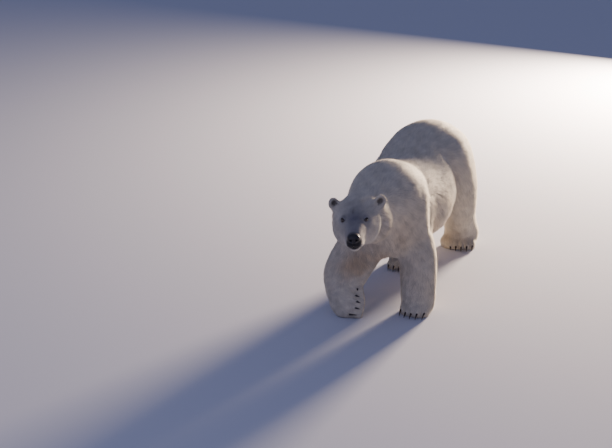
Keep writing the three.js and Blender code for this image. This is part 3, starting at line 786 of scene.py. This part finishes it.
# A tuft is shaded mostly as the hide below it, so the coat looks soft and not like scales, and less
# so where it is shaggy, so that locks show.
soft = (0.65 - 0.35 * wild)[:, None]
shading = np.empty_like(spikes)
shading[:, :3] = (soft * out)[:, None]
shading[:, 0] -= (1 - soft) * aside
shading[:, 1] += (1 - soft) * aside
shading[:, 3] = tip_out
shading = unit(shading)

layout = numbers(hide.data.uv_layers["OFBake"].data, "uv", float, 2)
loops = numbers(hide.data.loop_triangles, "loops", int, 3)
spot = (layout[loops[picked]] * weights[:, :, None]).sum(1)
spot = np.clip(spot, 0, 1 - PATCH)
carried = {name: at_roots(values) for name, values in MARKINGS.items()}
lock_tint = draw.normal(size=len(members)).clip(-2, 2)[lock]
carried["tint"] = draw.normal(size=tufts).clip(-2, 2) + 0.9 * waver(root, 0.05, 8)
carried["tint"] += 1.3 * wild * lock_tint


def coat_piece(name, chosen):
    """The tufts of one stretch of the coat, as one piece."""
    count = len(chosen)
    mesh = bpy.data.meshes.new(name)
    mesh.vertices.add(count * 4)
    mesh.vertices.foreach_set("co", spikes[chosen].ravel())
    corners_of = np.concatenate(SPIKE)
    sizes = np.tile([len(face) for face in SPIKE], count)
    at = (np.arange(count)[:, None] * 4 + corners_of).ravel()
    mesh.loops.add(len(at))
    mesh.loops.foreach_set("vertex_index", at)
    mesh.polygons.add(len(sizes))
    mesh.polygons.foreach_set("loop_start", np.cumsum(sizes) - sizes)
    mesh.polygons.foreach_set("use_smooth", np.ones(len(sizes), bool))
    mesh.update(calc_edges=True)
    patch = spot[chosen][:, None] + PATCH * np.array(SPIKE_PATCH)[corners_of]
    layer = mesh.uv_layers.new(name="OFBake")
    layer.data.foreach_set("uv", patch.ravel().astype(np.float32))
    mesh.normals_split_custom_set_from_vertices(shading[chosen].reshape(-1, 3))
    for key, values in carried.items():
        set_attribute(mesh, key, np.repeat(values[chosen], 4))
    set_attribute(mesh, "along", np.tile(SPIKE_ALONG, count))
    set_attribute(mesh, "across", np.tile(SPIKE_ACROSS, count))
    mesh.materials.append(fur)
    made = bpy.data.objects.new(name, mesh)
    bpy.context.collection.objects.link(made)
    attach(made, "root")


node_at_root = node[triangles[picked, 0]]
is_trunk = node_at_root == FLESH.index("trunk")
is_neck = node_at_root == FLESH.index("neck")
is_left = root[:, 0] > middle("trunk")[0]
trunk_low, trunk_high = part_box("trunk")
third = np.clip((root[:, 1] - trunk_low[1]) / (trunk_high[1] - trunk_low[1]) * 3, 0, 2.99).astype(int)
face_ahead = on_face(root)[:, 0] > -95
is_head = np.isin(node_at_root, [FLESH.index(name) for name in ("head", "ear_left", "ear_right")])
STRETCHES = {"coat_face": is_head & face_ahead, "coat_crown": is_head & ~face_ahead}
for hand, chosen in (("left", is_left), ("right", ~is_left)):
    STRETCHES[f"coat_neck_{hand}"] = is_neck & chosen
    for index, name in enumerate(("shoulder", "flank", "rump")):
        STRETCHES[f"coat_{name}_{hand}"] = is_trunk & chosen & (third == index)
for limb in LIMBS:
    names = [f"{limb}_{name}" for name in ("upper", "lower", "paw")]
    STRETCHES[f"coat_{limb}"] = np.isin(node_at_root, [FLESH.index(name) for name in names])
STRETCHES["coat_tail"] = node_at_root == FLESH.index("tail")
for name, chosen in STRETCHES.items():
    coat_piece(name, np.nonzero(chosen)[0])

# ---------------------------------------------------------------------------------------------------
# The eyes: small dark balls, wet all over, set deep behind their lids. The clear front bulges a little
# over a brown iris, and hardly any white shows.
IRIS_RADIUS, CORNEA = 9.5, 1.3  # mm, and how far the clear front bulges

# A clear cornea under a film of tears: almost black from afar, with one sharp glint.
eyeball, shader = new_material(
    "wet_eyeball", Roughness=0.18, IOR=1.38, Coat_Weight=1.0, Coat_Roughness=0.02, Coat_IOR=1.38
)
off_axis = add(eyeball, "ShaderNodeAttribute", {}, attribute_name="off_axis").outputs["Fac"]
rings = add(eyeball, "ShaderNodeValToRGB", {"Fac": off_axis})
# pupil, iris and the brown rim of the white, by how many mm they lie off the line of sight
EYE_COLOURS = ((0, "#050405"), (4.0, "#070506"), (4.5, "#3a2417"), (8.4, "#2a180f"), (9.6, "#0e0908"))
stops = rings.color_ramp
stops.elements[0].color = linear(EYE_COLOURS[0][1])
stops.elements[1].position, stops.elements[1].color = 1.0, linear("#3c2a22")
for distance, colour in EYE_COLOURS[1:]:
    stops.elements.new(distance / EYE_RADIUS).color = linear(colour)
eyeball.node_tree.links.new(rings.outputs["Color"], shader.inputs["Base Color"])

for name, out in (("left", 1), ("right", -1)):
    gaze = Vector(EYE_GAZE * (1, out, 1) @ head_axes)
    shape = bmesh.new()
    bmesh.ops.create_uvsphere(shape, u_segments=40, v_segments=28, radius=EYE_RADIUS * MM)
    turned = gaze.to_track_quat("Z", "Y").to_matrix().to_4x4()
    for vertex in shape.verts:
        off = math.hypot(vertex.co.x, vertex.co.y) / MM if vertex.co.z > 0 else EYE_RADIUS
        vertex.co.z += CORNEA * MM * float(hump(off, IRIS_RADIUS))
    mesh = bpy.data.meshes.new(f"eyeball_{name}")
    shape.to_mesh(mesh)
    shape.free()
    flat = numbers(mesh.vertices, "co", float, 3) / MM
    off = np.where(flat[:, 2] > 0, np.hypot(flat[:, 0], flat[:, 1]), EYE_RADIUS)
    set_attribute(mesh, "off_axis", off / EYE_RADIUS)
    mesh.transform(Matrix.Translation(middle(f"eye_{name}") - gaze * EYE_SUNK * MM) @ turned)
    mesh.polygons.foreach_set("use_smooth", [True] * len(mesh.polygons))
    mesh.materials.append(eyeball)
    ball = bpy.data.objects.new(f"eyeball_{name}", mesh)
    bpy.context.collection.objects.link(ball)
    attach(ball, "root")
    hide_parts(f"eye_{name}")

# ---------------------------------------------------------------------------------------------------
# The nose: a pad of bare black skin, cobbled like leather and moist. Two nostrils curl out to its
# sides, and a groove runs down between them.
NOSE_HALF = (31, 42, 33)  # half its length, width and height in mm
nose_mesh = bpy.data.meshes.new("nose_pad")
shape = bmesh.new()
bmesh.ops.create_icosphere(shape, subdivisions=6, radius=1)
shape.to_mesh(nose_mesh)
shape.free()
ball_points = numbers(nose_mesh.vertices, "co", float, 3)
f, l, u = ball_points.T
squared = np.sign(ball_points) * np.abs(ball_points) ** 0.86
pad = squared * NOSE_HALF
pad[:, 1] *= 1 - 0.24 * ramp(u, -0.1, -1)
pad[:, 0] -= 5 * ramp(u, 0.2, 1.0)
f, l, u = pad.T
side = np.abs(l)
curl = np.hypot((side - 17 - 0.25 * (u + 4)) / 8.5, (u + 3) / 7.5)
slit = np.hypot((side - 27) / 11, (u + 7 + 0.25 * (side - 27)) / 3.4)
nostril = np.maximum(hump(curl, 1.0), 0.8 * hump(slit, 1.0)) * (f > 0)
rim = hump(curl - 1.25, 0.5) * (f > 0)
groove = hump(l, 3.2) * ramp(f, 5, 18) * ramp(u, 12, 0)
pad[:, 0] += -15 * nostril + 1.8 * rim - 3 * groove
cobbles = waver(pad, 5.5, 21) * waver(pad, 7.0, 22)
pad *= (1 + 0.012 * cobbles * (1 - nostril))[:, None]
nose_at = on_face(np.array([middle("nose")]))[0]
placed = (pad + nose_at) @ head_axes * MM + np.array(between_eyes)
nose_mesh.vertices.foreach_set("co", placed.ravel())
nose_mesh.polygons.foreach_set("use_smooth", [True] * len(nose_mesh.polygons))
set_attribute(nose_mesh, "hollow", nostril)

# Bare moist skin, cobbled: black, with a soft broken sheen on top, and painted shade, near black, in the
# nostrils.
nose_skin, shader = new_material(
    "moist_nose_leather", Roughness=0.42, IOR=1.45, Coat_Weight=0.25, Coat_Roughness=0.22
)
hollow = add(nose_skin, "ShaderNodeAttribute", {}, attribute_name="hollow").outputs["Fac"]
where = add(nose_skin, "ShaderNodeTexCoord", {}).outputs["Object"]
COBBLE = 3 * MM
cells = add(nose_skin, "ShaderNodeTexVoronoi", {"Vector": where, "Scale": 1 / COBBLE}).outputs["Distance"]
nose_tone = linear("#262127")
for share, colour in ((cells, "#131014"), (hollow, "#020202")):
    layer = add(nose_skin, "ShaderNodeMix", {0: share, 6: nose_tone, 7: linear(colour)}, data_type="RGBA")
    nose_tone = layer.outputs[2]
nose_skin.node_tree.links.new(nose_tone, shader.inputs["Base Color"])
relief = add(nose_skin, "ShaderNodeBump", {"Strength": 0.5, "Distance": 1.2 * MM, "Height": cells})
relief.invert = True
nose_skin.node_tree.links.new(relief.outputs["Normal"], shader.inputs["Normal"])
nose_mesh.materials.append(nose_skin)
nose_pad = bpy.data.objects.new("nose_pad", nose_mesh)
bpy.context.collection.objects.link(nose_pad)
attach(nose_pad, "root")
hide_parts("nose")

# ---------------------------------------------------------------------------------------------------
# The claws: five to a paw, short and stout horns of dark keratin that bend down to a blunt point.
# Their roots sit deep in the toes, under the hair.
CLAW_ROOT = (10, 8)  # half its height and width at the root, in mm
CLAW_BEND = 0.75  # how far it turns from root to tip, in radians
CLAW_EXTRA = 12  # how far its root reaches into the toe
CLAW_RINGS = 10

# Keratin, grown in bands and rubbed by ice: dark, a little browner towards the tip, with a dull shine.
horn, shader = new_material("dark_claw_horn", Roughness=0.36, IOR=1.54, Coat_Weight=0.15, Coat_Roughness=0.3)
where = add(horn, "ShaderNodeTexCoord", {}).outputs["Object"]
GROWTH = 6 * MM  # the bands that the horn grew in
noise = {"Vector": where, "Scale": 1 / GROWTH, "Detail": 3.0}
growth = add(horn, "ShaderNodeTexNoise", noise).outputs["Fac"]
along_claw = add(horn, "ShaderNodeAttribute", {}, attribute_name="along").outputs["Fac"]
horn_tone = linear("#17130f")
for share, colour in ((growth, "#2b241c"), (along_claw, "#3d3226")):
    layer = add(horn, "ShaderNodeMix", {0: share, 6: horn_tone, 7: linear(colour)}, data_type="RGBA")
    horn_tone = layer.outputs[2]
horn.node_tree.links.new(horn_tone, shader.inputs["Base Color"])
relief = add(horn, "ShaderNodeBump", {"Strength": 0.3, "Distance": 0.6 * MM, "Height": growth})
horn.node_tree.links.new(relief.outputs["Normal"], shader.inputs["Normal"])


def claw_piece(limb, k, up):
    """A claw between the root and the tip of its node, arched towards the paw's back."""
    node = f"{limb}_claw_{k}"
    root, tip = (Vector(end) for end in claw_ends(limb, k))
    heading = (tip - root).normalized()
    root -= heading * CLAW_EXTRA * MM
    chord = (tip - root).length
    radius = chord / 2 / math.sin(CLAW_BEND / 2)
    shape = bmesh.new()
    ring = bmesh.ops.create_circle(shape, segments=14, radius=1)["verts"]
    for vertex in ring:
        y, z = vertex.co.x * CLAW_ROOT[1] * MM, vertex.co.y * CLAW_ROOT[0] * MM
        vertex.co = Vector((0, y, z))
    bmesh.ops.spin(
        shape,
        geom=ring + shape.edges[:],
        cent=(0, 0, -radius),
        axis=(0, 1, 0),
        angle=CLAW_BEND,
        steps=CLAW_RINGS,
    )
    for vertex in shape.verts:
        turned = math.atan2(vertex.co.x, vertex.co.z + radius)
        on_arc = Vector((math.sin(turned), 0, math.cos(turned))) * radius - Vector((0, 0, radius))
        narrow = max(0.12, max(0, 1 - turned / CLAW_BEND) ** 0.62)
        vertex.co = on_arc + (vertex.co - on_arc) * narrow
    bmesh.ops.holes_fill(shape, edges=shape.edges[:], sides=0)
    bmesh.ops.recalc_face_normals(shape, faces=shape.faces[:])
    mesh = bpy.data.meshes.new(f"horn_{node}")
    shape.to_mesh(mesh)
    shape.free()
    reached = numbers(mesh.vertices, "co", float, 3)
    share = np.arctan2(reached[:, 0], reached[:, 2] + radius) / CLAW_BEND
    set_attribute(mesh, "along", np.clip(share, 0, 1))
    side = Vector(up).cross(heading).normalized()
    back = heading.cross(side).normalized()
    flat = Matrix((heading, side, back)).transposed().to_4x4()
    lowered = Matrix.Rotation(-CLAW_BEND / 2, 4, "Y")
    mesh.transform(Matrix.Translation(root) @ flat @ lowered)
    mesh.polygons.foreach_set("use_smooth", [True] * len(mesh.polygons))
    mesh.materials.append(horn)
    made = bpy.data.objects.new(f"horn_{node}", mesh)
    bpy.context.collection.objects.link(made)
    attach(made, "root")
    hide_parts(node)


for limb in LIMBS:
    up = paw_of(limb)[2]
    for k in CLAWS:
        claw_piece(limb, k, up)

# ---------------------------------------------------------------------------------------------------
# The set: a plain pale floor, a broad low lamp behind the bear to its left, and weak cool light from
# the front.
FLOOR_SIZE = 60
floor_shape = bmesh.new()
bmesh.ops.create_grid(floor_shape, x_segments=1, y_segments=1, size=FLOOR_SIZE / 2)
floor = bpy.data.objects.new("floor", bpy.data.meshes.new("floor"))
floor_shape.to_mesh(floor.data)
floor_shape.free()
bpy.context.collection.objects.link(floor)
# Matt paint, pale grey with a touch of blue, so the bear's own cream stands out.
floor_paint, shader = new_material("matt_floor_paint", Base_Color=linear("#c8cbd7"), Roughness=0.9)
floor.data.materials.append(floor_paint)

world = bpy.data.worlds.new("sky")
world.use_nodes = True
backdrop = world.node_tree.nodes["Background"]
backdrop.inputs["Color"].default_value = linear("#c2cbff")
backdrop.inputs["Strength"].default_value = 0.3
bpy.context.scene.world = world


AIMED_AT = Vector((0, 0, 0.6))  # the bear's middle


def softbox(name, place, size, power, colour):
    """A square lamp that faces the bear's middle."""
    lamp = bpy.data.lights.new(name, "AREA")
    lamp.size = size
    lamp.energy = power
    lamp.color = colour
    made = bpy.data.objects.new(name, lamp)
    made.location = place
    made.rotation_euler = (AIMED_AT - Vector(place)).to_track_quat("-Z", "Y").to_euler()
    bpy.context.collection.objects.link(made)


softbox("low_sun", (1.7, 6.9, 1.5), 1.4, 2900, (1.0, 0.78, 0.60))
softbox("sky_fill", (-2.0, -6.0, 6.0), 5.0, 60, (0.66, 0.70, 1.0))
softbox("low_bounce", (1.5, -7.0, 1.0), 4.0, 32, (0.92, 0.78, 1.0))
